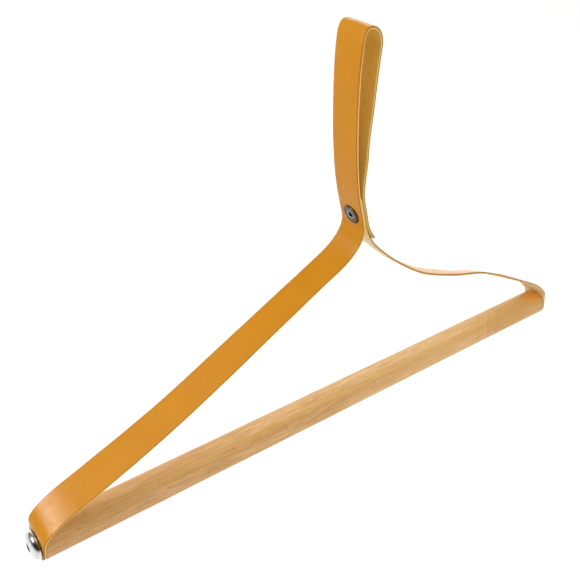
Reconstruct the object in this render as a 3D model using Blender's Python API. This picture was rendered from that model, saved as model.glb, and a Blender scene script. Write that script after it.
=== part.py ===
"""Wooden hanger: a turned beech rod carried by two leather straps.

The long strap rises from the rod's left end, turns up at the neck, makes the
hanging loop and comes down its own back as a short tab. The short strap rises
from the rod's right end and is bolted between the two layers at the neck. A
domed screw at each end of the rod runs through the strap into a threaded
insert, so the rod can be turned about its own axis in the strap ends.

Frame: metres, +Z up, +X along the rod, Y across the straps. The origin is the
inside top of the loop, where the rail or hook carries the hanger.
"""
import math

import bmesh
import bpy
from mathutils import Matrix, Vector

MM = 0.001

# Rod
ROD_LENGTH = 450 * MM
ROD_DIAMETER = 21 * MM
ROD_EDGE_ROUND = 1.5 * MM

# Straps
STRAP_WIDTH = 20 * MM
STRAP_THICKNESS = 1.5 * MM
STRAP_EDGE_BREAK = 0.3 * MM      # burnished corners of the leather's cut edge
STRAP_TAIL = 10 * MM             # strap below the end screw's axis
STRAP_TAIL_CORNER = 9.4 * MM     # rounding of the strap at the rod's ends
STRAP_TOP_CORNER = 2 * MM        # rounding of the strap ends at the neck
LEFT_BEND_RADIUS = 13 * MM       # middle of the leather, over the rod's left end
RIGHT_BEND_RADIUS = 2.3 * MM
LEFT_LEAVE = 43.8                # degrees of the leather's heading after the bend
RIGHT_LEAVE = 131.0
LEFT_ROLL = 16.2                 # degrees that the strap is turned about the screw
RIGHT_ROLL = -15.7
LEFT_SWAY_POWER = 6              # how soon the leg swings back to the middle
RIGHT_SWAY_POWER = 4

# Neck, where three layers meet
NECK_FROM_LEFT = 211.2 * MM      # rod's left end to the neck, along the rod
NECK_HEIGHT = 160.1 * MM         # rod's axis to the neck
NECK_LEAN = 19.9                 # degrees that the layers lean to the left
BOLT_BELOW_NECK = 3.9 * MM
LAYER_ABOVE_NECK = 13 * MM       # short strap's end above the neck
STRAIGHT_ABOVE_NECK = 8 * MM
STRAIGHT_BELOW_NECK = 8.4 * MM
TAB_BELOW_NECK = 24 * MM         # length of the tab below the neck
TAB_FLARE = 1.3 * MM             # how far the tab's tip springs off the leg
TAB_FLARE_START = 10 * MM        # below the neck
TAB_FLARE_POWER = 1.2

# Hanging loop
LOOP_HEIGHT = 110.8 * MM         # neck to the inside top of the loop
LOOP_OPENING = 12.9 * MM         # inside width below the top
LOOP_OFFSET = 13.2 * MM          # loop's middle line to the left of the neck
LOOP_CREST = 3.1 * MM            # highest point to the left of the middle line
LOOP_LEAN_POWER = 2.32           # how late the middle line leans over to the neck
LOOP_ROLL = -3.7                 # degrees that the crest is tipped

# Fasteners
END_HEAD_DIAMETER = 18 * MM
END_HEAD_HEIGHT = 5.0 * MM
END_SOCKET = 6.0 * MM            # across flats
END_SOCKET_DEPTH = 3.0 * MM
END_SHANK_DIAMETER = 6.0 * MM
END_SHANK_LENGTH = 28 * MM
END_TIP_CHAMFER = 0.8 * MM
HEAD_RIM_SHARE = 0.18            # straight rim as a share of a dome's height
HEAD_FLAT_SHARE = 0.72           # flat top's radius as a share of the socket
INSERT_DIAMETER = 10 * MM
INSERT_LENGTH = 22 * MM
INSERT_LEAD = 0.6 * MM
NECK_HEAD_DIAMETER = 12.0 * MM
NECK_HEAD_HEIGHT = 1.2 * MM
NECK_HEAD_BREAK = 0.35 * MM      # broken edge of the head's face
NECK_HEAD_FOOT = 0.2 * MM
NECK_GROOVE_SHARE = 0.66         # turned groove's radius as a share of the head's
NECK_GROOVE_WIDTH = 0.7 * MM
NECK_GROOVE_DEPTH = 0.3 * MM
NECK_SOCKET = 3.0 * MM
NECK_SOCKET_DEPTH = 0.9 * MM
NECK_SHANK_DIAMETER = 4.0 * MM
NECK_BARREL_DIAMETER = 6.0 * MM
NECK_TIP_CHAMFER = 0.4 * MM

# Clearances
SEAT_GAP = 0.3 * MM              # between faces that touch
SHANK_CLEARANCE = 0.3 * MM       # round a shank or barrel, on the radius
PILOT_DEPTH_CLEARANCE = 2 * MM   # past the end of the screw and the insert

# Fineness of the faceting
ROUND_SEGMENTS = 48
SMALL_SEGMENTS = 28
CORNER_STEPS = 8
TURN_STEP = 7.0                  # degrees of bend between two strap sections
LENGTH_STEP = 6 * MM
SHORTEST_STEP = 0.05 * MM

# Points that follow from the sizes above
LAYER_PITCH = STRAP_THICKNESS + SEAT_GAP
STACK = 3 * STRAP_THICKNESS + 2 * SEAT_GAP
TAIL_CORNER = min(STRAP_TAIL_CORNER, STRAP_WIDTH / 2 - 2 * STRAP_EDGE_BREAK)
ROD_RADIUS = ROD_DIAMETER / 2
ROD_Z = -(NECK_HEIGHT + LOOP_HEIGHT)
NECK_X = LOOP_OFFSET + LOOP_CREST
NECK_Z = -LOOP_HEIGHT
LEFT_X = NECK_X - NECK_FROM_LEFT
RIGHT_X = LEFT_X + ROD_LENGTH
ROD_CENTRE = Vector((LEFT_X + ROD_LENGTH / 2, 0, ROD_Z))
NECK_POINT = Vector((NECK_X, 0, NECK_Z))
LEAN = math.radians(NECK_LEAN)
NECK_AXIS = Vector((math.cos(LEAN), 0, math.sin(LEAN)))    # along the bolt, to its nut
NECK_UP = Vector((-math.sin(LEAN), 0, math.cos(LEAN)))     # along the leather, upwards
BOLT_POINT = NECK_POINT - NECK_UP * BOLT_BELOW_NECK


def clear_scene():
    """Remove whatever the open file holds."""
    for item in list(bpy.data.objects):
        bpy.data.objects.remove(item, do_unlink=True)


def material(name, color, roughness, metallic=0.0):
    """A plain Principled material."""
    made = bpy.data.materials.new(name)
    made.use_nodes = True
    shader = made.node_tree.nodes["Principled BSDF"]
    shader.inputs["Base Color"].default_value = (*color, 1.0)
    shader.inputs["Roughness"].default_value = roughness
    shader.inputs["Metallic"].default_value = metallic
    return made


def empty(name, location):
    """A named frame that pieces are parented to."""
    item = bpy.data.objects.new(name, None)
    item.location = location
    item.empty_display_size = 0.02
    bpy.context.collection.objects.link(item)
    return item


def piece(name, mesh, finish, parent, matrix=None):
    """Link a mesh as a named object under a parent frame."""
    item = bpy.data.objects.new(name, mesh)
    bpy.context.collection.objects.link(item)
    item.parent = parent
    if matrix is not None:
        item.matrix_local = matrix
    if finish is not None:
        mesh.materials.append(finish)
    return item


def finish_mesh(work, name, sharp_angle=30.0):
    """Turn a bmesh into a smooth-shaded mesh with outward faces."""
    bmesh.ops.recalc_face_normals(work, faces=work.faces)
    mesh = bpy.data.meshes.new(name)
    work.to_mesh(mesh)
    work.free()
    mesh.shade_smooth()
    mesh.set_sharp_from_angle(angle=math.radians(sharp_angle))
    return mesh


def turned(name, profile, segments):
    """Turn a closed profile of (radius, height) points about Z.

    A profile that starts and ends on the axis gives a solid; one that stays
    off the axis gives a ring.
    """
    work = bmesh.new()
    rings = []
    for radius, height in profile:
        if radius == 0:
            rings.append([work.verts.new((0, 0, height))])
            continue
        ring = []
        for index in range(segments):
            angle = 2 * math.pi * index / segments
            ring.append(work.verts.new((radius * math.cos(angle), radius * math.sin(angle), height)))
        rings.append(ring)
    pairs = list(zip(rings, rings[1:]))
    if profile[0][0] > 0:
        pairs.append((rings[-1], rings[0]))
    for lower, upper in pairs:
        for index in range(segments):
            following = (index + 1) % segments
            corners = [lower[index % len(lower)], lower[following % len(lower)],
                       upper[following % len(upper)], upper[index % len(upper)]]
            unique = list(dict.fromkeys(corners))
            work.faces.new(unique)
    return finish_mesh(work, name)


def arc(center, radius, start, stop, steps):
    """Points of a circular arc as (radius, height) pairs, angles in degrees."""
    points = []
    for index in range(steps + 1):
        angle = math.radians(start + (stop - start) * index / steps)
        points.append((center[0] + radius * math.cos(angle), center[1] + radius * math.sin(angle)))
    return points


def prism(name, width_across_flats, height):
    """A hexagonal bar along Z, standing on the XY plane."""
    work = bmesh.new()
    radius = width_across_flats / math.sqrt(3)
    bmesh.ops.create_cone(work, cap_ends=True, segments=6, radius1=radius, radius2=radius, depth=height)
    bmesh.ops.translate(work, verts=work.verts, vec=(0, 0, height / 2))
    return finish_mesh(work, name)


def bar(name, diameter, height, segments=SMALL_SEGMENTS):
    """A round bar along Z, centred on the origin."""
    work = bmesh.new()
    bmesh.ops.create_cone(work, cap_ends=True, segments=segments, radius1=diameter / 2,
                          radius2=diameter / 2, depth=height)
    return finish_mesh(work, name)


def cut(target, cutter):
    """Subtract one object from another and keep the cutter as a hidden guide."""
    cutter.hide_render = True
    cutter.display_type = "WIRE"
    modifier = target.modifiers.new("cut_" + cutter.name, "BOOLEAN")
    modifier.operation = "DIFFERENCE"
    modifier.solver = "EXACT"
    modifier.object = cutter


# Paths of the straps, as samples (x, z, heading, roll) of the leather's middle

def hermite(start, end):
    """A smooth run between two samples, close to an arc where it turns."""
    x0, z0, h0, r0 = start
    x1, z1, h1, r1 = end
    chord = math.hypot(x1 - x0, z1 - z0)
    handle = chord / (3 * math.cos(math.radians(h1 - h0) / 4) ** 2)
    points = [Vector((x0, z0)),
              Vector((x0, z0)) + handle * Vector((math.cos(math.radians(h0)), math.sin(math.radians(h0)))),
              Vector((x1, z1)) - handle * Vector((math.cos(math.radians(h1)), math.sin(math.radians(h1)))),
              Vector((x1, z1))]
    steps = max(8, math.ceil(chord / MM), math.ceil(abs(h1 - h0)))
    samples = []
    for index in range(steps + 1):
        t = index / steps
        weights = ((1 - t) ** 3, 3 * t * (1 - t) ** 2, 3 * t * t * (1 - t), t ** 3)
        place = sum((w * p for w, p in zip(weights, points)), Vector((0, 0)))
        speed = (3 * (1 - t) ** 2 * (points[1] - points[0]) + 6 * t * (1 - t) * (points[2] - points[1])
                 + 3 * t * t * (points[3] - points[2]))
        heading = math.degrees(math.atan2(speed.y, speed.x))
        middle = (h0 + h1) / 2
        heading += 360 * round((middle - heading) / 360)
        ease = t * t * (3 - 2 * t)
        samples.append((place.x, place.y, heading, r0 + (r1 - r0) * ease))
    return samples


def chain(knots):
    """Join runs through a list of samples."""
    samples = [knots[0]]
    for start, end in zip(knots, knots[1:]):
        samples.extend(hermite(start, end)[1:])
    return samples


def neck_sample(layer, along, heading):
    """A sample on one of the bolted layers: 0 front, 1 middle, 2 back."""
    place = NECK_POINT + NECK_AXIS * ((layer - 1) * LAYER_PITCH) + NECK_UP * along
    return (place.x, place.z, heading, 0.0)


def leg_sample(end_x, share, drop, turn, roll):
    """A sample on a leg, placed against the straight line from rod to neck.

    share runs from 0 at the rod's end to 1 at the neck, drop is how far the
    leather lies below the line and turn is its angle against it.
    """
    top_of_rod = ROD_Z + ROD_RADIUS
    run = NECK_X - end_x
    rise = NECK_Z - top_of_rod
    line = math.degrees(math.atan2(rise, run))
    return (end_x + share * run, top_of_rod + share * rise - drop, line + turn, roll)


def end_samples(end_x, outward, bend_radius, leave, roll):
    """The strap up the rod's end face and over its edge.

    outward is -1 at the left end and +1 at the right; leave is the heading at
    which the bend ends.
    """
    x = end_x + outward * (SEAT_GAP + STRAP_THICKNESS / 2)
    flat_top = ROD_Z + ROD_RADIUS - ROD_EDGE_ROUND
    turn = leave - 90
    center = (x - outward * bend_radius, flat_top)
    samples = [(x, ROD_Z - STRAP_TAIL, 90.0, roll), (x, ROD_Z, 90.0, roll), (x, flat_top, 90.0, roll)]
    steps = 12
    for index in range(1, steps + 1):
        angle = math.radians(abs(turn) * index / steps)
        samples.append((center[0] + outward * bend_radius * math.cos(angle),
                        center[1] + bend_radius * math.sin(angle),
                        90 + turn * index / steps, roll))
    return samples


def sway(z, roll_at_end, power):
    """Sideways shift of a leg that leaves the rod turned about the screw."""
    height = z - ROD_Z
    reach = height
    if height > 0:
        reach = height * max(0.0, 1 - height / NECK_HEIGHT) ** power
    return -math.tan(math.radians(roll_at_end)) * reach


def beside(sample, distance, heading_turn):
    """A sample moved off to the right of its heading."""
    x, z, heading = sample[:3]
    angle = math.radians(heading)
    return (x + math.sin(angle) * distance, z - math.cos(angle) * distance, heading + heading_turn, 0.0)


def height_in_neck(x, z):
    """How far a place lies above the neck, along the leather."""
    return (Vector((x, 0, z)) - NECK_POINT).dot(NECK_UP)


def loop_sample(share, side, fullness, heading):
    """A sample at a share of the loop's height, on its front (-1) or back (+1)."""
    half_loop = (LOOP_OPENING + STRAP_THICKNESS) / 2
    middle = LOOP_CREST + LOOP_OFFSET * (1 - share) ** LOOP_LEAN_POWER
    return (middle + side * fullness * half_loop, NECK_Z + share * LOOP_HEIGHT, heading, 0.0)


def shoulder_sample(side, fullness, drop, heading):
    """A sample where the loop turns upright, at a depth below its crest."""
    half_loop = (LOOP_OPENING + STRAP_THICKNESS) / 2
    x = LOOP_CREST + side * fullness * half_loop
    return (x, STRAP_THICKNESS / 2 - drop * half_loop, heading, LOOP_ROLL)


CREST = (0.0, STRAP_THICKNESS / 2, 0.0, LOOP_ROLL)


def front_samples():
    """The long strap from the rod's left end up to the crest of the loop."""
    end = end_samples(LEFT_X, -1, LEFT_BEND_RADIUS, LEFT_LEAVE, LEFT_ROLL)
    up = 90 + NECK_LEAN
    knots = [end[-1],
             leg_sample(LEFT_X, 0.107, -3.5 * MM, -12.4, LEFT_ROLL),
             leg_sample(LEFT_X, 0.483, 15.2 * MM, -5.7, LEFT_ROLL * 0.58),
             leg_sample(LEFT_X, 0.931, 25.6 * MM, -4.7, LEFT_ROLL * 0.07),
             neck_sample(0, -STRAIGHT_BELOW_NECK, up),
             neck_sample(0, STRAIGHT_ABOVE_NECK, up),
             loop_sample(0.431, -1, 0.65, 100.4),
             loop_sample(0.762, -1, 0.92, 95.8),
             shoulder_sample(-1, 1.0, 1.14, 90.0),
             CREST]
    return end[:-1] + chain(knots)


def back_samples():
    """The long strap from the crest down to the back of the neck."""
    knots = [CREST,
             shoulder_sample(1, 0.82, 1.55, -90.0),
             loop_sample(0.638, 1, 0.78, -87.6),
             loop_sample(0.356, 1, 0.52, -82.3),
             neck_sample(2, STRAIGHT_ABOVE_NECK, NECK_LEAN - 90)]
    return chain(knots)[1:]


def short_strap_path(front):
    """From the rod's right end up between the two layers of the long strap."""
    end = end_samples(RIGHT_X, 1, RIGHT_BEND_RADIUS, RIGHT_LEAVE, RIGHT_ROLL)
    knots = [end[-1],
             leg_sample(RIGHT_X, 0.154, -1.3 * MM, 5.0, RIGHT_ROLL * 0.92),
             leg_sample(RIGHT_X, 0.252, 2.4 * MM, 3.6, RIGHT_ROLL * 1.35),
             leg_sample(RIGHT_X, 0.442, 10.9 * MM, 14.6, RIGHT_ROLL * 1.7),
             leg_sample(RIGHT_X, 0.595, 20.6 * MM, 10.3, RIGHT_ROLL * 1.16),
             leg_sample(RIGHT_X, 0.743, 25.2 * MM, 0.3, RIGHT_ROLL * 0.59),
             leg_sample(RIGHT_X, 0.904, 20.1 * MM, -9.1, RIGHT_ROLL * 0.17),
             leg_sample(RIGHT_X, 0.965, 13.6 * MM, -24.4, 0.0),
             neck_sample(1, -STRAIGHT_BELOW_NECK, 90 + NECK_LEAN),
             neck_sample(1, 0, 90 + NECK_LEAN)]
    above = [beside(sample, LAYER_PITCH, 0) for sample in front
             if 0 < height_in_neck(*sample[:2]) <= LAYER_ABOVE_NECK]
    samples = end[:-1] + chain(knots) + above
    return [(x, sway(z, RIGHT_ROLL, RIGHT_SWAY_POWER), z, heading, roll) for x, z, heading, roll in samples]


def tab_samples(short_path):
    """The tab, which lies on the short strap from the neck down."""
    samples = []
    previous = None
    fallen = 0.0
    for x, _, z, heading, _ in reversed(short_path):
        above = height_in_neck(x, z)
        if above > 0:
            continue
        if previous is None:
            fallen = -above
        else:
            fallen += math.hypot(x - previous[0], z - previous[1])
        previous = (x, z)
        if fallen > TAB_BELOW_NECK:
            break
        flare = max(0.0, fallen - TAB_FLARE_START) / (TAB_BELOW_NECK - TAB_FLARE_START)
        spread = LAYER_PITCH + TAB_FLARE * flare ** TAB_FLARE_POWER
        samples.append(beside((x, z, heading), spread, -180))
    return samples


def long_strap_path(front, short_path):
    """From the rod's left end round the loop to the tip of the tab."""
    samples = front + back_samples() + tab_samples(short_path)
    return [(x, sway(z, LEFT_ROLL, LEFT_SWAY_POWER), z, heading, roll) for x, z, heading, roll in samples]


# Straps as solids

def place_along(path):
    """Running length of a path at each of its samples."""
    lengths = [0.0]
    for first, second in zip(path, path[1:]):
        step = math.dist(first[:3], second[:3])
        lengths.append(lengths[-1] + step)
    return lengths


def corner_lengths(radius):
    """Distances from a strap's end at which its rounded corner needs a section."""
    return [radius * (1 - math.cos(math.pi / 2 * index / CORNER_STEPS)) for index in range(CORNER_STEPS + 1)]


def section_lengths(path, start_corner, end_corner):
    """Where the strap gets its sections: close in the bends, wide on the legs."""
    lengths = place_along(path)
    total = lengths[-1]
    wanted = set(corner_lengths(start_corner))
    wanted.update(total - length for length in corner_lengths(end_corner))
    last = 0
    for index in range(1, len(path)):
        turned_by = abs(path[index][3] - path[last][3])
        rolled_by = abs(path[index][4] - path[last][4])
        if turned_by >= TURN_STEP or rolled_by >= TURN_STEP or lengths[index] - lengths[last] >= LENGTH_STEP:
            if start_corner < lengths[index] < total - end_corner:
                wanted.add(lengths[index])
            last = index
    ordered = sorted(wanted)
    kept = [ordered[0]]
    for length in ordered[1:]:
        if length - kept[-1] > SHORTEST_STEP:
            kept.append(length)
    kept[-1] = total
    return kept


def sample_at(path, lengths, wanted):
    """The path's place, heading and roll at a running length."""
    for index in range(1, len(path)):
        if lengths[index] >= wanted or index == len(path) - 1:
            span = lengths[index] - lengths[index - 1]
            part = 0.0 if span == 0 else (wanted - lengths[index - 1]) / span
            part = min(1.0, max(0.0, part))
            return [a + (b - a) * part for a, b in zip(path[index - 1], path[index])]


def half_width(distance, corner):
    """Half the strap's width at a distance from an end with rounded corners."""
    if distance >= corner:
        return STRAP_WIDTH / 2
    inset = corner - math.sqrt(max(0.0, corner ** 2 - (corner - distance) ** 2))
    return STRAP_WIDTH / 2 - inset


def strap_mesh(name, path, start_corner, end_corner):
    """Leather of even thickness along a path, with broken edges."""
    lengths = place_along(path)
    total = lengths[-1]
    work = bmesh.new()
    rings = []
    for length in section_lengths(path, start_corner, end_corner):
        x, y, z, heading, roll = sample_at(path, lengths, length)
        before = sample_at(path, lengths, max(0.0, length - MM))
        after = sample_at(path, lengths, min(total, length + MM))
        span = math.hypot(after[0] - before[0], after[2] - before[2])
        drift = (after[1] - before[1]) / span
        angle = math.radians(heading)
        tangent = Vector((math.cos(angle), drift, math.sin(angle))).normalized()
        across = Vector((0, math.cos(math.radians(roll)), math.sin(math.radians(roll))))
        across = (across - tangent * across.dot(tangent)).normalized()
        normal = tangent.cross(across)
        half = min(half_width(length, start_corner), half_width(total - length, end_corner))
        thick = STRAP_THICKNESS / 2
        edge = STRAP_EDGE_BREAK
        outline = [(half, thick - edge), (half - edge, thick), (edge - half, thick), (-half, thick - edge),
                   (-half, edge - thick), (edge - half, -thick), (half - edge, -thick), (half, edge - thick)]
        middle = Vector((x, y, z))
        rings.append([work.verts.new(middle + across * a + normal * b) for a, b in outline])
    for lower, upper in zip(rings, rings[1:]):
        for index in range(len(lower)):
            following = (index + 1) % len(lower)
            work.faces.new((lower[index], lower[following], upper[following], upper[index]))
    work.faces.new(rings[0])
    work.faces.new(rings[-1])
    bmesh.ops.triangulate(work, faces=work.faces)
    return finish_mesh(work, name, 50.0)


def axis_matrix(point, direction):
    """A frame at a point with its Z along a direction."""
    return Matrix.Translation(point) @ direction.to_track_quat("Z", "Y").to_matrix().to_4x4()


def punch(strap, name, point, direction, diameter, parent):
    """A round hole through every layer of leather along an axis."""
    mesh = bar(name, diameter, 2 * END_HEAD_DIAMETER)
    cutter = piece(name, mesh, None, parent, axis_matrix(point, direction))
    cut(strap, cutter)


# Turned and cut pieces

def rod_profile():
    """Half outline of the rod with its stepped holes, from one end to the other."""
    edge = ROD_EDGE_ROUND
    half = ROD_LENGTH / 2
    seat = INSERT_DIAMETER / 2 + SEAT_GAP
    pilot = END_SHANK_DIAMETER / 2 + SHANK_CLEARANCE
    seat_depth = INSERT_LENGTH + 2 * SEAT_GAP
    pilot_depth = max(seat_depth, END_SHANK_LENGTH) + PILOT_DEPTH_CLEARANCE
    low_rim = arc((ROD_RADIUS - edge, edge - half), edge, -90, 0, 4)
    high_rim = arc((ROD_RADIUS - edge, half - edge), edge, 0, 90, 4)
    hole = [(seat, half), (seat, half - seat_depth), (pilot, half - seat_depth), (pilot, half - pilot_depth),
            (0, half - pilot_depth)]
    mirrored = [(radius, -height) for radius, height in reversed(hole)]
    return mirrored + low_rim + high_rim + hole


def head_profile(diameter, height, flat_radius):
    """Dome of a button head from its rim to its flat top, height along Z."""
    radius = diameter / 2
    rim = HEAD_RIM_SHARE * height
    steps = 7
    points = [(radius - 0.5 * rim, 0), (radius, 0.5 * rim), (radius, rim)]
    for index in range(1, steps + 1):
        angle = math.pi / 2 * index / steps
        points.append((flat_radius + (radius - flat_radius) * math.cos(angle),
                       rim + (height - rim) * math.sin(angle)))
    return points


def end_screw(name, finish, parent, end_x, outward):
    """A domed screw with a hexagon socket, pointing into the rod."""
    shank = END_SHANK_DIAMETER / 2
    length = END_SHANK_LENGTH
    flat_radius = END_SOCKET * HEAD_FLAT_SHARE
    tip = END_TIP_CHAMFER
    profile = [(0, -length), (shank - tip, -length), (shank, tip - length), (shank, 0)]
    profile += head_profile(END_HEAD_DIAMETER, END_HEAD_HEIGHT, flat_radius) + [(0, END_HEAD_HEIGHT)]
    seat = end_x + outward * (STRAP_THICKNESS + 2 * SEAT_GAP)
    matrix = axis_matrix(Vector((seat - ROD_CENTRE.x, 0, 0)), Vector((outward, 0, 0)))
    screw = piece(name, turned(name, profile, ROUND_SEGMENTS), finish, parent, matrix)
    socket = piece(name + "_socket", prism(name + "_socket", END_SOCKET, END_HEAD_HEIGHT), None, screw,
                   Matrix.Translation((0, 0, END_HEAD_HEIGHT - END_SOCKET_DEPTH)))
    cut(screw, socket)
    return screw


def insert(name, finish, parent, end_x, outward):
    """The threaded sleeve in the rod's end that the screw runs into."""
    bore = END_SHANK_DIAMETER / 2 + SHANK_CLEARANCE
    outer = INSERT_DIAMETER / 2
    profile = [(bore, 0), (outer - INSERT_LEAD, 0), (outer, INSERT_LEAD), (outer, INSERT_LENGTH),
               (bore, INSERT_LENGTH)]
    depth = SEAT_GAP + INSERT_LENGTH
    matrix = axis_matrix(Vector((end_x - outward * depth - ROD_CENTRE.x, 0, 0)), Vector((outward, 0, 0)))
    return piece(name, turned(name, profile, SMALL_SEGMENTS), finish, parent, matrix)


def ringed_head():
    """Flat head with a turned groove, from its rim to its middle, height along Z."""
    radius = NECK_HEAD_DIAMETER / 2
    top = NECK_HEAD_HEIGHT
    groove = NECK_GROOVE_SHARE * radius
    half_groove = NECK_GROOVE_WIDTH / 2
    return [(radius - NECK_HEAD_FOOT, 0), (radius, NECK_HEAD_FOOT), (radius, top - NECK_HEAD_BREAK),
            (radius - NECK_HEAD_BREAK, top), (groove + half_groove, top), (groove, top - NECK_GROOVE_DEPTH),
            (groove - half_groove, top), (0, top)]


def neck_bolt(finish, parent):
    """Flat-headed bolt on the front of the neck."""
    shank = NECK_SHANK_DIAMETER / 2
    length = STACK + SEAT_GAP
    tip = NECK_TIP_CHAMFER
    profile = [(0, -length), (shank - tip, -length), (shank, tip - length), (shank, 0)]
    profile += ringed_head()
    seat = BOLT_POINT - NECK_AXIS * (STACK / 2 + SEAT_GAP)
    bolt = piece("neck_bolt", turned("neck_bolt", profile, ROUND_SEGMENTS), finish, parent,
                 axis_matrix(seat, -NECK_AXIS))
    socket = piece("neck_bolt_socket", prism("neck_bolt_socket", NECK_SOCKET, NECK_HEAD_HEIGHT), None, bolt,
                   Matrix.Translation((0, 0, NECK_HEAD_HEIGHT - NECK_SOCKET_DEPTH)))
    cut(bolt, socket)
    return bolt


def neck_nut(finish, parent):
    """Barrel nut with the same head, put in from the back of the neck."""
    outer = NECK_BARREL_DIAMETER / 2
    bore = NECK_SHANK_DIAMETER / 2 + SHANK_CLEARANCE
    length = STACK - SEAT_GAP
    profile = [(0, 0), (bore, 0), (bore, -length), (outer, -length), (outer, 0)] + ringed_head()
    seat = BOLT_POINT + NECK_AXIS * (STACK / 2 + SEAT_GAP)
    nut = piece("neck_nut", turned("neck_nut", profile, ROUND_SEGMENTS), finish, parent,
                axis_matrix(seat, NECK_AXIS))
    socket = piece("neck_nut_socket", prism("neck_nut_socket", NECK_SOCKET, NECK_HEAD_HEIGHT), None, nut,
                   Matrix.Translation((0, 0, NECK_HEAD_HEIGHT - NECK_SOCKET_DEPTH)))
    cut(nut, socket)
    return nut


def build_straps(leather, parent):
    """Both straps with their punched holes."""
    front = front_samples()
    short_path = short_strap_path(front)
    long_path = long_strap_path(front, short_path)
    long_strap = piece("long_strap", strap_mesh("long_strap", long_path, TAIL_CORNER, STRAP_TOP_CORNER),
                       leather, parent)
    short_strap = piece("short_strap", strap_mesh("short_strap", short_path, TAIL_CORNER, STRAP_TOP_CORNER),
                        leather, parent)
    end_hole = END_SHANK_DIAMETER + 2 * SHANK_CLEARANCE
    neck_hole = NECK_BARREL_DIAMETER + 2 * SHANK_CLEARANCE
    rod_axis = Vector((1, 0, 0))
    punch(long_strap, "left_hole", Vector((LEFT_X, 0, ROD_Z)), rod_axis, end_hole, parent)
    punch(long_strap, "neck_hole", BOLT_POINT, NECK_AXIS, neck_hole, parent)
    punch(short_strap, "right_hole", Vector((RIGHT_X, 0, ROD_Z)), rod_axis, end_hole, parent)
    punch(short_strap, "middle_layer_hole", BOLT_POINT, NECK_AXIS, neck_hole, parent)


def build_rod(beech, steel, brass, parent):
    """The rod with an insert and a screw in each end."""
    turn = Vector((1, 0, 0)).to_track_quat("Z", "Y").to_matrix().to_4x4()
    piece("rod", turned("rod", rod_profile(), ROUND_SEGMENTS), beech, parent, turn)
    for side, end_x, outward in (("left", LEFT_X, -1), ("right", RIGHT_X, 1)):
        insert("insert_" + side, brass, parent, end_x, outward)
        end_screw("end_screw_" + side, steel, parent, end_x, outward)


def main():
    """Build the hanger."""
    clear_scene()
    leather = material("ochre_leather", (0.60, 0.30, 0.045), 0.5)
    beech = material("beech", (0.62, 0.40, 0.22), 0.55)
    steel = material("polished_steel", (0.72, 0.70, 0.66), 0.18, 1.0)
    gunmetal = material("gunmetal", (0.14, 0.13, 0.13), 0.35, 1.0)
    brass = material("insert_brass", (0.75, 0.58, 0.25), 0.35, 1.0)
    strap_frame = empty("strap_frame", (0, 0, 0))
    rod_frame = empty("rod_frame", ROD_CENTRE)
    build_straps(leather, strap_frame)
    neck_bolt(gunmetal, strap_frame)
    neck_nut(gunmetal, strap_frame)
    build_rod(beech, steel, brass, rod_frame)


main()
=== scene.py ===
"""Looks of the wooden hanger: leather straps, beech rod, screws, light and camera.

Metres, in the frame of the solids: +Z up, +X along the rod, Y across the straps,
origin at the inside top of the hanging loop.
"""

from functools import partialmethod
from math import atan2, ceil, cos, degrees, dist, hypot, pi, radians, sin, sqrt, tan

import bmesh
import bpy
import numpy as np
from mathutils import Matrix, Vector

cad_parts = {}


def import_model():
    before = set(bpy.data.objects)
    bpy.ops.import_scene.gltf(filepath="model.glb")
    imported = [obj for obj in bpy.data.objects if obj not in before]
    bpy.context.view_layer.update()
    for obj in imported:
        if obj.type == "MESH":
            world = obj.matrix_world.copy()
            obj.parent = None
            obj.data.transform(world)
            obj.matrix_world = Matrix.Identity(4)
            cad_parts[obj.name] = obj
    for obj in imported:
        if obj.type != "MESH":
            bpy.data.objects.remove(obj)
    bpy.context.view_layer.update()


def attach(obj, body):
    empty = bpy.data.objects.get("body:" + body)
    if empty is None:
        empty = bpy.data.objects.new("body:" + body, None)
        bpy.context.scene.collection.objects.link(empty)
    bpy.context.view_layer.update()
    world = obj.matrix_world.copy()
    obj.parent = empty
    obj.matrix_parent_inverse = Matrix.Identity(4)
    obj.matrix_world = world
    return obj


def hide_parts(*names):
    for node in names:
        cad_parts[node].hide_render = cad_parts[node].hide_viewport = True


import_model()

MM = 0.001

# Sizes of the solids, and in comments where the photograph asked for another one
ROD_LENGTH = 450 * MM
ROD_RADIUS = 10.5 * MM
ROD_EDGE_ROUND = 1.5 * MM
RIGHT_EDGE_ROUND = 2.8 * MM  # 1.5 mm in the solid
STRAP_WIDTH = 20 * MM
STRAP_THICKNESS = 1.5 * MM
STRAP_TAIL = 10 * MM
STRAP_TAIL_CORNER = 9.4 * MM
STRAP_TOP_CORNER = 2 * MM
LEFT_BEND_RADIUS = 13 * MM
RIGHT_BEND_RADIUS = 2.3 * MM
LEFT_LEAVE = 43.8
RIGHT_LEAVE = 131.0
LEFT_ROLL = 16.2
RIGHT_ROLL = -15.7
LEFT_SWAY_POWER = 6
RIGHT_SWAY_POWER = 4
NECK_FROM_LEFT = 211.2 * MM
NECK_HEIGHT = 160.1 * MM
NECK_LEAN = 19.9
BOLT_BELOW_NECK = 3.9 * MM
LAYER_ABOVE_NECK = 13 * MM
STRAIGHT_ABOVE_NECK = 8 * MM
STRAIGHT_BELOW_NECK = 8.4 * MM
TAB_BELOW_NECK = 25.6 * MM  # 24 mm in the solid
TAB_FLARE = 1.1 * MM  # 1.3 mm in the solid
TAB_FLARE_START = 10 * MM
TAB_FLARE_POWER = 1.2
LOOP_HEIGHT = 110.8 * MM
LOOP_OPENING = 12.9 * MM
LOOP_OFFSET = 13.2 * MM
LOOP_CREST = 3.1 * MM
LOOP_LEAN_POWER = 2.32
LOOP_ROLL = -3.7
HALF_LOOP = (LOOP_OPENING + STRAP_THICKNESS) / 2

BEND_STEPS = 24

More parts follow.
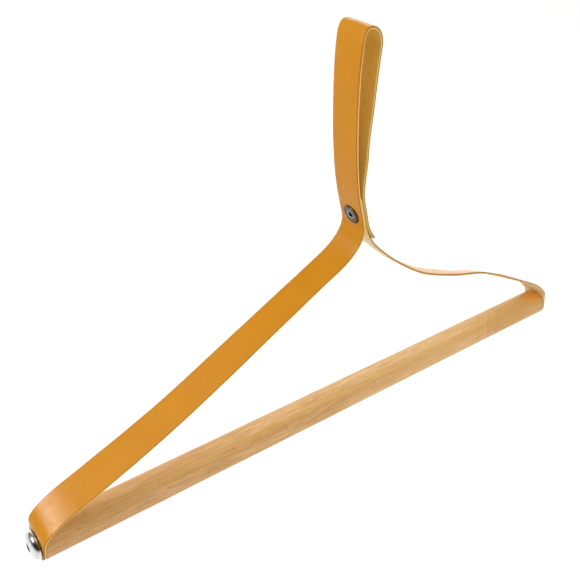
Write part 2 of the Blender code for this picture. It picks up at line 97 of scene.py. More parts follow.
# Points of the legs: share of the run, drop in mm, turn in degrees, share of the roll
LEFT_LEG = ((0.107, -3.5, -12.4, 1.0), (0.483, 15.2, -5.7, 0.58), (0.931, 25.6, -4.7, 0.07))
RIGHT_LEG = ((0.154, -1.3, 5.0, 0.92), (0.252, 2.4, 3.6, 1.35), (0.442, 10.9, 14.6, 1.7), (0.595, 20.6, 10.3, 1.16),
             (0.743, 25.2, 0.3, 0.59), (0.904, 20.1, -9.1, 0.17), (0.965, 13.6, -24.4, 0.0))

# Pressed together, the layers lie closer than the solids' clearance
SEAT = 0.06 * MM
LAYER_PITCH = STRAP_THICKNESS + SEAT
STACK = 3 * STRAP_THICKNESS + 2 * SEAT

ROD_Z = -(NECK_HEIGHT + LOOP_HEIGHT)
NECK_POINT = Vector((LOOP_OFFSET + LOOP_CREST, 0, -LOOP_HEIGHT))
LEFT_X = NECK_POINT.x - NECK_FROM_LEFT
RIGHT_X = LEFT_X + ROD_LENGTH
ROD_MIDDLE = Vector(((LEFT_X + RIGHT_X) / 2, 0, ROD_Z))
LEAN = radians(NECK_LEAN)
NECK_AXIS = Vector((cos(LEAN), 0, sin(LEAN)))
NECK_UP = Vector((-sin(LEAN), 0, cos(LEAN)))
BOLT_POINT = NECK_POINT - NECK_UP * BOLT_BELOW_NECK
CREST = (0.0, STRAP_THICKNESS / 2, 0.0, LOOP_ROLL)

# Screw heads
END_HEAD_RADIUS = 9.0 * MM
END_HEAD_HEIGHT = 5.0 * MM
END_SOCKET = 4.9 * MM  # across flats, 6 mm in the solid
END_SOCKET_DEPTH = 3.0 * MM
END_SHANK_RADIUS = 3.0 * MM
END_SHANK_LENGTH = 28 * MM
END_HEAD_SINK = 0.12 * MM
NECK_HEAD_RADIUS = 6.0 * MM
NECK_HEAD_HEIGHT = 1.1 * MM  # 1.2 mm in the solid
NECK_SOCKET = 3.4 * MM  # across flats, 3 mm in the solid
NECK_SOCKET_DEPTH = 0.9 * MM
NECK_HEAD_SINK = 0.4 * MM
NECK_SHANK_RADIUS = 2.0 * MM
NECK_BARREL_RADIUS = 3.0 * MM
HEAD_FLAT_SHARE = 0.72  # of the socket's width, level round it
HEAD_CLEARANCE = 0.02 * MM
HOLE_CLEARANCE = 0.3 * MM
PUNCH_REACH = 12 * MM
SANDING = 0.03 * MM

# Camera of the photograph
CAMERA_PLACE = Vector((-286.5, -295.9, 123.1)) * MM
CAMERA_AZIMUTH = 48.7
CAMERA_ELEVATION = 35.29
CAMERA_ROLL = 6.18
CAMERA_LENS = 50.0
CAMERA_SENSOR = 36.0


# Paths of the straps, as samples (x, z, heading, roll) of the leather's middle

def smooth(t):
    """A smooth rise from 0 to 1."""
    return t * t * (3 - 2 * t)


def hermite(start, end):
    """A smooth run between two samples, close to an arc where it turns."""
    x0, z0, h0, r0 = start
    x1, z1, h1, r1 = end
    chord = hypot(x1 - x0, z1 - z0)
    handle = chord / (3 * cos(radians(h1 - h0) / 4) ** 2)
    first = Vector((cos(radians(h0)), sin(radians(h0))))
    last = Vector((cos(radians(h1)), sin(radians(h1))))
    p0 = Vector((x0, z0))
    p3 = Vector((x1, z1))
    p1 = p0 + handle * first
    p2 = p3 - handle * last
    steps = max(12, ceil(chord / (0.5 * MM)), ceil(abs(h1 - h0)))
    samples = []
    for index in range(steps + 1):
        t = index / steps
        s = 1 - t
        place = s ** 3 * p0 + 3 * t * s * s * p1 + 3 * t * t * s * p2 + t ** 3 * p3
        speed = 3 * s * s * (p1 - p0) + 6 * t * s * (p2 - p1) + 3 * t * t * (p3 - p2)
        heading = degrees(atan2(speed.y, speed.x))
        heading += 360 * round(((h0 + h1) / 2 - heading) / 360)
        samples.append((place.x, place.y, heading, r0 + (r1 - r0) * smooth(t)))
    return samples


def chain(knots):
    """Join runs through a list of samples."""
    samples = [knots[0]]
    for start, end in zip(knots, knots[1:]):
        samples.extend(hermite(start, end)[1:])
    return samples


def neck_sample(layer, along, heading):
    """A sample on one of the bolted layers: 0 front, 1 middle, 2 back."""
    place = NECK_POINT + NECK_AXIS * ((layer - 1) * LAYER_PITCH) + NECK_UP * along
    return (place.x, place.z, heading, 0.0)


def leg_samples(end_x, leg, roll):
    """Samples on a leg, placed against the straight line from rod to neck."""
    top_of_rod = ROD_Z + ROD_RADIUS
    run = NECK_POINT.x - end_x
    rise = NECK_POINT.z - top_of_rod
    line = degrees(atan2(rise, run))
    return [(end_x + share * run, top_of_rod + share * rise - drop * MM, line + turn, roll * part)
            for share, drop, turn, part in leg]


def end_samples(end_x, outward, bend_radius, leave, roll):
    """The strap up the rod's end face and over its edge."""
    x = end_x + outward * (SEAT + STRAP_THICKNESS / 2)
    flat_top = ROD_Z + ROD_RADIUS - ROD_EDGE_ROUND
    turn = leave - 90
    center = (x - outward * bend_radius, flat_top)
    samples = [(x, z, 90.0, roll) for z in (ROD_Z - STRAP_TAIL, ROD_Z, flat_top)]
    for index in range(1, BEND_STEPS + 1):
        angle = radians(abs(turn) * index / BEND_STEPS)
        samples.append((center[0] + outward * bend_radius * cos(angle), center[1] + bend_radius * sin(angle),
                        90 + turn * index / BEND_STEPS, roll))
    return samples


def sway(z, roll_at_end, power):
    """Sideways shift of a leg that leaves the rod turned about the screw."""
    reach = z - ROD_Z
    if reach > 0:
        reach *= max(0.0, 1 - reach / NECK_HEIGHT) ** power
    return -tan(radians(roll_at_end)) * reach


def with_sway(samples, roll, power):
    """The samples with their place across the rod."""
    return [(x, sway(z, roll, power), z, heading, turn) for x, z, heading, turn in samples]


def beside(sample, distance, heading_turn):
    """A sample moved off to the right of its heading."""
    x, z, heading = sample[:3]
    angle = radians(heading)
    return (x + sin(angle) * distance, z - cos(angle) * distance, heading + heading_turn, 0.0)


def height_in_neck(x, z):
    """How far a place lies above the neck, along the leather."""
    return (Vector((x, 0, z)) - NECK_POINT).dot(NECK_UP)


def loop_sample(share, side, fullness, heading):
    """A sample at a share of the loop's height, on its front (-1) or back (+1)."""
    middle = LOOP_CREST + LOOP_OFFSET * (1 - share) ** LOOP_LEAN_POWER
    return (middle + side * fullness * HALF_LOOP, NECK_POINT.z + share * LOOP_HEIGHT, heading, 0.0)


def shoulder_sample(side, fullness, drop, heading):
    """A sample where the loop turns upright, at a depth below its crest."""
    return (LOOP_CREST + side * fullness * HALF_LOOP, STRAP_THICKNESS / 2 - drop * HALF_LOOP, heading, LOOP_ROLL)


def front_samples():
    """The long strap from the rod's left end up to the crest of the loop."""
    end = end_samples(LEFT_X, -1, LEFT_BEND_RADIUS, LEFT_LEAVE, LEFT_ROLL)
    up = 90 + NECK_LEAN
    knots = [end[-1], *leg_samples(LEFT_X, LEFT_LEG, LEFT_ROLL),
             neck_sample(0, -STRAIGHT_BELOW_NECK, up),
             neck_sample(0, STRAIGHT_ABOVE_NECK, up),
             loop_sample(0.431, -1, 0.65, 100.4),
             loop_sample(0.762, -1, 0.92, 95.8),
             shoulder_sample(-1, 1.0, 1.14, 90.0),
             CREST]
    return end[:-1] + chain(knots)


def back_samples():
    """The long strap from the crest down to the back of the neck."""
    knots = [CREST,
             shoulder_sample(1, 0.82, 1.55, -90.0),
             loop_sample(0.638, 1, 0.78, -87.6),
             loop_sample(0.356, 1, 0.52, -82.3),
             neck_sample(2, STRAIGHT_ABOVE_NECK, NECK_LEAN - 90)]
    return chain(knots)[1:]


def short_strap_path(front):
    """From the rod's right end up between the two layers of the long strap."""
    end = end_samples(RIGHT_X, 1, RIGHT_BEND_RADIUS, RIGHT_LEAVE, RIGHT_ROLL)
    knots = [end[-1], *leg_samples(RIGHT_X, RIGHT_LEG, RIGHT_ROLL),
             neck_sample(1, -STRAIGHT_BELOW_NECK, 90 + NECK_LEAN),
             neck_sample(1, 0, 90 + NECK_LEAN)]
    above = [beside(sample, LAYER_PITCH, 0) for sample in front
             if 0 < height_in_neck(*sample[:2]) <= LAYER_ABOVE_NECK]
    return with_sway(end[:-1] + chain(knots) + above, RIGHT_ROLL, RIGHT_SWAY_POWER)


def tab_samples(short_path):
    """The tab, which lies on the short strap from the neck down."""
    samples = []
    previous = None
    fallen = 0.0
    for x, _, z, heading, _ in reversed(short_path):
        above = height_in_neck(x, z)
        if above > 0:
            continue
        if previous is None:
            fallen = -above
        else:
            fallen += hypot(x - previous[0], z - previous[1])
        previous = (x, z)
        if fallen > TAB_BELOW_NECK:
            break
        flare = max(0.0, fallen - TAB_FLARE_START) / (TAB_BELOW_NECK - TAB_FLARE_START)
        spread = LAYER_PITCH + TAB_FLARE * flare ** TAB_FLARE_POWER
        samples.append(beside((x, z, heading), spread, -180))
    return samples


def long_strap_path(front, short_path):
    """From the rod's left end round the loop to the tip of the tab."""
    return with_sway(front + back_samples() + tab_samples(short_path), LEFT_ROLL, LEFT_SWAY_POWER)


# Leather in fine meshes

EASED_LENGTH = 40 * MM  # of a strap's start, where its bend is eased
EASED_FADE = 15 * MM  # where the easing fades out
EVEN_STEP = 0.25 * MM  # between the samples of an eased path
BULGE_START = 5.0 * MM  # above the end screw's axis
BULGE_RISE = 10.0 * MM
BULGE_FALL_START = 13 * MM
BULGE_FALL = 20 * MM
SECTION_STEP = 1.0 * MM  # between two sections of a strap
SECTION_TURN = 3.0  # degrees of bend between two sections
FACE_COLUMNS = 20  # across the grain and the flesh side
GRAIN_CORNER = 0.22 * MM  # rounding between grain side and cut edge
FLESH_CORNER = 0.12 * MM
PRESS_NEAR = 4 * MM  # along the screw, where its head presses the leather
PRESS_EDGE = 1.6 * MM  # width of the slope round a head
PRESS_REACH = 2.2 * MM  # width of the raised lip
PRESS_LIP = 0.1  # its share of the sink
EDGE_WAVE = 0.05 * MM  # how far the cut edges waver
CORNER_STEPS = 3
EDGE_STEPS = 4
GRAIN, EDGE, FLESH = 0, 1, 2  # material slots of a strap
GRAIN_SIDE = {"long_strap_leather": 1, "short_strap_leather": -1}


def to_mesh(work, name):
    """The mesh of a finished bmesh."""
    mesh = bpy.data.meshes.new(name)
    work.to_mesh(mesh)
    work.free()
    return mesh


def add_object(name, data):
    """A new object, linked into the scene."""
    item = bpy.data.objects.new(name, data)
    bpy.context.scene.collection.objects.link(item)
    return item


def smooth_noise(seed, length, cell):
    """A seeded smooth random wave over a length, between -1 and 1."""
    rng = np.random.default_rng(seed)
    knots = rng.uniform(-1, 1, int(length / cell) + 4)

    def value(place):
        share = max(0.0, place) / cell
        index = min(int(share), len(knots) - 2)
        ease = smooth(share - index)
        return knots[index] * (1 - ease) + knots[index + 1] * ease

    return value


def running_lengths(path):
    """Running length of a path at each of its samples."""
    lengths = [0.0]
    for first, second in zip(path, path[1:]):
        lengths.append(lengths[-1] + dist(first[:3], second[:3]))
    return np.array(lengths)


def sprung(path, spread, bulge):
    """The path with its first bend eased, and bulged outwards above the screw."""
    lengths = running_lengths(path)
    table = np.array(path)
    even = np.arange(0.0, lengths[-1], EVEN_STEP)
    columns = [np.interp(even, lengths, table[:, column]) for column in range(5)]
    reach = int(3 * spread / EVEN_STEP)
    weights = np.exp(-0.5 * (np.arange(-reach, reach + 1) * EVEN_STEP / spread) ** 2)
    weights /= weights.sum()
    share = smooth(np.clip((EASED_LENGTH + EASED_FADE - even) / EASED_FADE, 0.0, 1.0))
    above = even - STRAP_TAIL
    rise = smooth(np.clip((above - BULGE_START) / BULGE_RISE, 0.0, 1.0))
    fall = smooth(np.clip((above - BULGE_FALL_START) / BULGE_FALL, 0.0, 1.0))
    for column in (0, 2):
        values = columns[column]
        ahead = 2 * values[0] - values[reach:0:-1]
        after = 2 * values[-1] - values[-2:-reach - 2:-1]
        eased = np.convolve(np.concatenate([ahead, values, after]), weights, "valid")
        columns[column] = values + (eased - values) * share
    columns[0] = columns[0] - bulge * (rise * (1 - fall))
    heading = np.degrees(np.unwrap(np.arctan2(np.gradient(columns[2]), np.gradient(columns[0]))))
    heading += 360 * np.round((columns[3][0] - heading[0]) / 360)
    columns[3] = columns[3] + (heading - columns[3]) * share
    return [tuple(row) for row in np.array(columns).T]


def section_places(path, lengths, start_corner, end_corner):
    """Where a strap gets its sections: close in the bends and at rounded ends."""
    total = lengths[-1]
    places = [0.0]
    heading = np.array([sample[3] for sample in path])
    while places[-1] < total:
        place = places[-1]
        step = SECTION_STEP
        turn = abs(np.interp(place + step, lengths, heading) - np.interp(place, lengths, heading))
        if turn > SECTION_TURN:
            step *= SECTION_TURN / turn
        for distance, corner in ((place, start_corner), (total - place, end_corner)):
            if distance < corner:
                step = min(step, max(0.06 * MM, 0.25 * distance))
        places.append(min(total, place + step))
    if total - places[-2] < 0.03 * MM:
        del places[-2]
    return places


def half_width(distance, corner):
    """Half the strap's width at a distance from an end with rounded corners."""
    if distance >= corner:
        return STRAP_WIDTH / 2
    return STRAP_WIDTH / 2 - corner + sqrt(max(0.0, corner ** 2 - (corner - distance) ** 2))


def strap_section():
    """Outline of the cut leather: (side, inward, depth, material) round the section.

    side is +1 or -1 for points held at a distance inward from an edge, and 0 for
    points shared out across a face; depth runs from 0 on the grain side to 1.
    """
    turns = [pi / 2 * index / CORNER_STEPS for index in range(CORNER_STEPS + 1)]
    top = [(GRAIN_CORNER * (1 - sin(turn)), GRAIN_CORNER / STRAP_THICKNESS * (1 - cos(turn))) for turn in turns]
    foot = [(FLESH_CORNER * (1 - sin(turn)), 1 - FLESH_CORNER / STRAP_THICKNESS * (1 - cos(turn)))
            for turn in reversed(turns)]
    high, low = top[-1][1], foot[0][1]
    edge = top + [(0.0, high + (low - high) * (index / EDGE_STEPS)) for index in range(1, EDGE_STEPS)] + foot
    face = [1 - 2 * index / FACE_COLUMNS for index in range(1, FACE_COLUMNS)]
    return ([(0, share, 0.0, GRAIN) for share in face] + [(-1, *spot, EDGE) for spot in edge]
            + [(0, -share, 1.0, FLESH) for share in face] + [(1, *spot, EDGE) for spot in reversed(edge)])


def press_of_heads(point, heads):
    """How far the heads press the grain side in at a point; their lips raise it."""
    depth = 0.0
    for centre, axis, radius, sink in heads:
        offset = point - centre
        along = offset.dot(axis)
        away = (offset - axis * along).length
        if abs(along) < PRESS_NEAR and away < radius + PRESS_REACH:
            depth = max(depth, sink * smooth(min(1.0, max(0.0, (radius + PRESS_EDGE - away) / PRESS_EDGE))))
            if away > radius:
                depth -= PRESS_LIP * sink * sin(pi * (away - radius) / PRESS_REACH)
    return depth


def strap_mesh(name, path, start_corner, end_corner, seed, heads):
    """A strap of leather: grain side, cut edges and flesh side as one closed mesh."""
    lengths = running_lengths(path)
    total = lengths[-1]
    table = np.array(path)
    outline = strap_section()
    waviness = [smooth_noise(seed + index, total, 9 * MM) for index in range(2)]
    fullness = smooth_noise(seed + 2, total, 14 * MM)
    work = bmesh.new()
    for layer in ("strap", "rim"):
        work.loops.layers.uv.new(layer)
    along_uv = work.loops.layers.uv["strap"]
    rim_uv = work.loops.layers.uv["rim"]
    rings = []

    def at(place):
        return [np.interp(place, lengths, column) for column in table.T]

    for place in section_places(path, lengths, start_corner, end_corner):
        x, y, z, heading, roll = at(place)
        before, after = at(max(0.0, place - MM)), at(min(total, place + MM))
        drift = (after[1] - before[1]) / hypot(after[0] - before[0], after[2] - before[2])
        angle = radians(heading)
        tangent = Vector((cos(angle), drift, sin(angle))).normalized()
        across = Vector((0, cos(radians(roll)), sin(radians(roll))))
        across = (across - tangent * across.dot(tangent)).normalized()
        normal = tangent.cross(across) * GRAIN_SIDE[name]
        middle = Vector((x, y, z))
        half = min(half_width(place, start_corner), half_width(total - place, end_corner))
        sides = {1: half + EDGE_WAVE * waviness[0](place), -1: -half + EDGE_WAVE * waviness[1](place)}
        ring = []
        for side, value, depth, _ in outline:
            a = sides[side] - side * value if side else value * (half - GRAIN_CORNER * 1.5)
            b = STRAP_THICKNESS * (0.5 - depth) * (1 + 0.02 * fullness(place))
            point = middle + across * a + normal * b
            if depth < 0.5:
                point -= normal * press_of_heads(point, heads)
            distance = min(half - abs(a), place, total - place)
            ring.append((work.verts.new(point), (place, a), (max(0.0, distance), depth * STRAP_THICKNESS)))
        rings.append(ring)

    def fill(corners, slot):
        face = work.faces.new([vert for vert, _, _ in corners])
        face.material_index = slot
        face.smooth = True
        for loop, (_, along, rim) in zip(face.loops, corners):
            loop[along_uv].uv = along
            loop[rim_uv].uv = rim

    count = len(outline)
    for lower, upper in zip(rings, rings[1:]):
        for index in range(count):
            following = (index + 1) % count
            slots = {outline[index][3], outline[following][3]}
            slot = EDGE if slots == {EDGE} else (slots - {EDGE}).pop()
            fill([lower[index], lower[following], upper[following], upper[index]], slot)
    fill(rings[0][::-1], EDGE)
    fill(rings[-1], EDGE)
    bmesh.ops.triangulate(work, faces=[face for face in work.faces if len(face.verts) > 4])
    bmesh.ops.recalc_face_normals(work, faces=work.faces)
    mesh = to_mesh(work, name)
    mesh.set_sharp_from_angle(angle=radians(50))
    return mesh


# Turned metal and wood

def axis_matrix(point, direction):
    """A frame at a point with its Z along a direction."""
    return Matrix.Translation(point) @ direction.to_track_quat("Z", "Y").to_matrix().to_4x4()


def arc(center, radius, start, stop, steps):
    """Points of a circular arc as (radius, height) pairs, angles in degrees."""
    angles = [radians(start + (stop - start) * index / steps) for index in range(steps + 1)]
    return [(center[0] + radius * cos(angle), center[1] + radius * sin(angle)) for angle in angles]


def straight(start, end, step):
    """Points along a straight stretch of a profile, without its first one."""
    count = max(1, ceil(dist(start, end) / step))
    return [(start[0] + (end[0] - start[0]) * index / count, start[1] + (end[1] - start[1]) * index / count)
            for index in range(1, count + 1)]


def thread(start, end, radius, depth, pitch):
    """A change of radius that winds a thread from a low to a high height."""
    def shift(r, height, angle):
        if abs(r - radius) >= 0.01 * MM or not start < height < end:
            return 0.0
        fade = min(1.0, (height - start) / pitch, (end - height) / pitch)
        phase = (height / pitch - angle / (2 * pi)) % 1.0
        return -depth * fade * (1 - abs(2 * phase - 1))

    return shift


def turned(name, profile, segments, change=None):
    """Turn a closed profile of (radius, height) points about Z.

    A profile that starts and ends on the axis gives a solid, one that stays off
    it gives a ring; change(radius, height, angle) is added to the radius.
    """
    work = bmesh.new()
    rings = []
    for radius, height in profile:
        if radius == 0:
            rings.append([work.verts.new((0, 0, height))])
            continue
        ring = []
        for index in range(segments):
            angle = 2 * pi * index / segments
            r = radius + (change(radius, height, angle) if change else 0.0)
            ring.append(work.verts.new((r * cos(angle), r * sin(angle), height)))
        rings.append(ring)
    pairs = list(zip(rings, rings[1:]))
    if profile[0][0] > 0:
        pairs.append((rings[-1], rings[0]))
    for lower, upper in pairs:
        for index in range(segments):
            following = (index + 1) % segments
            corners = [lower[index % len(lower)], lower[following % len(lower)],
                       upper[following % len(upper)], upper[index % len(upper)]]
            work.faces.new(list(dict.fromkeys(corners)))
    bmesh.ops.recalc_face_normals(work, faces=work.faces)
    mesh = to_mesh(work, name)
    mesh.shade_smooth()
    return mesh


def place_piece(name, mesh, matrix, looks):
    """Link a mesh, put it in place and give it its materials."""
    mesh.transform(matrix)
    for look in looks:
        mesh.materials.append(look)
    return add_object(name, mesh)


def apply_cuts(item, cutters, matrix):
    """Cut shapes out of an object for good."""
    for mesh in cutters:
        mesh.transform(matrix)
        cutter = add_object(mesh.name, mesh)
        modifier = item.modifiers.new("cut", "BOOLEAN")
        modifier.operation = "DIFFERENCE"
        modifier.solver = "EXACT"
        modifier.object = cutter
        graph = bpy.context.evaluated_depsgraph_get()
        cut_mesh = bpy.data.meshes.new_from_object(item.evaluated_get(graph))
        item.modifiers.remove(modifier)
        old = item.data
        item.data = cut_mesh
        bpy.data.meshes.remove(old)
        bpy.data.objects.remove(cutter)
        bpy.data.meshes.remove(mesh)
    item.data.name = item.name


def strap_hole(item, point, axis, radius):
    """A punched hole through a strap; its wall is cut edge."""
    profile = [(0, -PUNCH_REACH), (radius, -PUNCH_REACH), (radius, PUNCH_REACH), (0, PUNCH_REACH)]
    cutter = turned("punch", profile, 32)
    for polygon in cutter.polygons:
        polygon.material_index = EDGE
    apply_cuts(item, [cutter], axis_matrix(point, axis))


def shade(item, angle=32):
    """Smooth shading with sharp edges over an angle in degrees."""
    item.data.shade_smooth()
    item.data.set_sharp_from_angle(angle=radians(angle))


def cut_socket(item, matrix, height, width, depth, chamfer):
    """Cut a key socket: the hexagon, its drilled tip and its wide mouth."""
    radius = width / sqrt(3)
    work = bmesh.new()
    bmesh.ops.create_cone(work, cap_ends=True, segments=6, radius1=radius, radius2=radius, depth=2 * depth)
    drill = width / 2 * 0.97
    tip = [(0, -depth - 0.3 * drill), (drill, -depth), (drill, 0), (0, 0)]
    mouth = [(0, -chamfer), (radius - 0.6 * chamfer, -chamfer), (radius + 0.9 * chamfer, 0.5 * chamfer),
             (0, 0.5 * chamfer)]
    cutters = [to_mesh(work, "hexagon_cutter"), turned("drill_cutter", tip, 48), turned("mouth_cutter", mouth, 64)]
    apply_cuts(item, cutters, matrix @ Matrix.Translation((0, 0, height)))
    shade(item)


def rod_mesh():
    """The turned rod with rounded rims and stepped holes."""
    edge = ROD_EDGE_ROUND
    half = ROD_LENGTH / 2
    seat, seat_depth = 5.3 * MM, 22.6 * MM
    pilot, pilot_depth = 3.3 * MM, 30 * MM
    rim = arc((ROD_RADIUS - RIGHT_EDGE_ROUND, half - RIGHT_EDGE_ROUND), RIGHT_EDGE_ROUND, 0, 90, 12)
    left_rim = arc((ROD_RADIUS - edge, half - edge), edge, 0, 90, 10)
    lead = arc((seat + 0.4 * MM, half - 0.4 * MM), 0.4 * MM, 90, 180, 4)
    hole = lead + [(seat, half - seat_depth), (pilot, half - seat_depth), (pilot, half - pilot_depth),
                   (0, half - pilot_depth - 1.5 * MM)]
    upper = rim + hole
    lower = [(radius, -height) for radius, height in reversed(left_rim + hole)]
    side = straight(lower[-1], upper[0], 3 * MM)[:-1]
    waves = [smooth_noise(71 + index, ROD_LENGTH + 20 * MM, 26 * MM) for index in range(3)]

    def sanding(radius, height, angle):
        if abs(radius - ROD_RADIUS) > 0.001 * MM:
            return 0.0
        place = height + half
        return SANDING * (waves[0](place) + waves[1](place) * cos(angle) + waves[2](place) * sin(2 * angle)) - SANDING

    return turned("rod_wood", lower + side + upper, 128, sanding)


def end_screw(name, end_x, outward, look):
    """A domed screw with its hexagon socket, in one end of the rod."""
    height = END_HEAD_HEIGHT
    radius = END_HEAD_RADIUS
    flat = END_SOCKET * HEAD_FLAT_SHARE
    rim = 1.15 * MM
    shank, pitch, depth = END_SHANK_RADIUS, 1.0 * MM, 0.5 * MM
    length = END_SHANK_LENGTH
    profile = [(0, -length), (shank - 0.8 * MM, -length), (shank, 0.8 * MM - length)]
    profile += straight(profile[-1], (shank, -0.2 * MM), pitch / 8)
    profile += [(shank + 0.3 * MM, 0), (radius - 2.4 * MM, 0), (radius - 2.2 * MM, 0.6 * MM)]
    profile += arc((radius - 0.25 * MM, 0.9 * MM), 0.25 * MM, -80, 0, 4)
    for index in range(0, 23):
        angle = pi / 2 * index / 22
        profile.append((flat + (radius - flat) * cos(angle), rim + (height - rim) * sin(angle)))
    profile.append((0, height))
    winding = thread(-length + 1.0 * MM, -1.0 * MM, shank, depth, pitch)
    seat = end_x + outward * (SEAT + STRAP_THICKNESS - END_HEAD_SINK + HEAD_CLEARANCE)
    matrix = axis_matrix(Vector((seat, 0, ROD_Z)), Vector((outward, 0, 0)))
    item = place_piece(name, turned(name, profile, 96, winding), matrix, [look])
    cut_socket(item, matrix, height, END_SOCKET, END_SOCKET_DEPTH, 0.35 * MM)
    return item


def ringed_head():
    """Flat head with turned grooves, from its rim to its middle, height along Z."""
    radius = NECK_HEAD_RADIUS
    top = NECK_HEAD_HEIGHT
    profile = [(radius - 0.25 * MM, 0)]
    profile += arc((radius - 0.3 * MM, 0.35 * MM), 0.3 * MM, -60, 0, 3)
    profile += arc((radius - 0.45 * MM, top - 0.45 * MM), 0.45 * MM, 0, 80, 6)
    for groove, width, depth in ((4.95 * MM, 0.22 * MM, 0.12 * MM), (3.45 * MM, 0.32 * MM, 0.07 * MM)):
        profile += [(groove + width, top), (groove + width * 0.55, top - depth * 0.8), (groove, top - depth),
                    (groove - width * 0.55, top - depth * 0.8), (groove - width, top)]
    profile.append((0, top))
    return profile


def neck_piece(name, side, look):
    """The bolt (-1, front) or the barrel nut (+1, back) of the neck."""
    seat = BOLT_POINT + NECK_AXIS * side * (STACK / 2 - NECK_HEAD_SINK + HEAD_CLEARANCE)
    if side < 0:
        shank, length = NECK_SHANK_RADIUS, STACK - NECK_HEAD_SINK
        profile = [(0, -length), (shank - 0.4 * MM, -length), (shank, 0.4 * MM - length)]
        profile += straight(profile[-1], (shank, -0.1 * MM), 0.7 * MM / 8)
        winding = thread(-length + 0.5 * MM, -0.3 * MM, shank, 0.3 * MM, 0.7 * MM)
    else:
        length = STACK - 2 * NECK_HEAD_SINK - SEAT
        bore = NECK_SHANK_RADIUS + 0.1 * MM
        profile = [(0, -0.3 * MM), (bore, -0.3 * MM)]
        profile += straight(profile[-1], (bore, -length), 0.7 * MM / 8)
        profile += [(NECK_BARREL_RADIUS, -length), (NECK_BARREL_RADIUS, 0)]
        winding = None
    profile += ringed_head()
    matrix = axis_matrix(seat, NECK_AXIS * side)
    item = place_piece(name, turned(name, profile, 96, winding), matrix, [look])
    cut_socket(item, matrix, NECK_HEAD_HEIGHT, NECK_SOCKET, NECK_SOCKET_DEPTH, 0.3 * MM)
    return item


def insert_piece(name, end_x, outward, look):
    """The threaded sleeve in the rod's end."""
    bore, outer, length = 3.12 * MM, 5.0 * MM, 22 * MM
    profile = [(bore, 0), (outer - 0.6 * MM, 0), (outer, 0.6 * MM)]
    profile += straight(profile[-1], (outer, length - 0.4 * MM), 0.25 * MM)
    profile += [(outer - 0.4 * MM, length), (bore + 0.3 * MM, length), (bore, length - 0.3 * MM)]
    winding = thread(1.0 * MM, length - 1.0 * MM, outer, 0.6 * MM, 2.0 * MM)
    matrix = axis_matrix(Vector((end_x - outward * (0.3 * MM + length), 0, ROD_Z)), Vector((outward, 0, 0)))
    item = place_piece(name, turned(name, profile, 64, winding), matrix, [look])
    shade(item, 35)
    return item


# Materials

# Dark lines across the rod near its right end: place, half width, strength
CROSS_LINES = ((0.1857, 0.0013, 0.6), (0.1903, 0.001, 0.22), (0.198, 0.002, 0.42), (0.203, 0.0009, 0.2),
               (0.2088, 0.0026, 0.42), (0.2137, 0.001, 0.35), (0.2245, 0.0012, 0.25))


class Nodes:
    """A node tree, built node by node."""

    def __init__(self, tree):
        self.tree = tree

    def node(self, kind, settings=None, **inputs):
        """Add a node; inputs given as sockets are linked, others are set."""
        made = self.tree.nodes.new(kind)
        for key, value in (settings or {}).items():
            setattr(made, key, value)
        for key, value in inputs.items():
            self.put(made.inputs[int(key[1:]) if key[0] == "i" and key[1:].isdigit() else key], value)
        return made

    def put(self, socket, value):
        """Link or set one socket."""
        if isinstance(value, bpy.types.NodeSocket):
            self.tree.links.new(value, socket)
        else:
            socket.default_value = value

    def math(self, operation, first, second=0.0, third=0.0):
        """A Math node's result."""
        return self.node("ShaderNodeMath", {"operation": operation}, i0=first, i1=second, i2=third).outputs[0]

    plus = partialmethod(math, "ADD")
    minus = partialmethod(math, "SUBTRACT")
    times = partialmethod(math, "MULTIPLY")

    def step(self, value, low, high, bottom=0.0, top=1.0):
        """A smooth step from bottom to top between low and high."""
        return self.node("ShaderNodeMapRange", {"interpolation_type": "SMOOTHSTEP"},
                         i0=value, i1=low, i2=high, i3=bottom, i4=top).outputs[0]

    def vector(self, operation, first, second=(0.0, 0.0, 0.0)):
        """A Vector Math node's result: a vector, or for a product or length a number."""
        made = self.node("ShaderNodeVectorMath", {"operation": operation}, i0=first, i1=second)
        return made.outputs["Value" if operation in ("DOT_PRODUCT", "LENGTH") else "Vector"]

    def place(self):
        """The point in the object's own frame, in metres."""
        return self.node("ShaderNodeTexCoord").outputs["Object"]


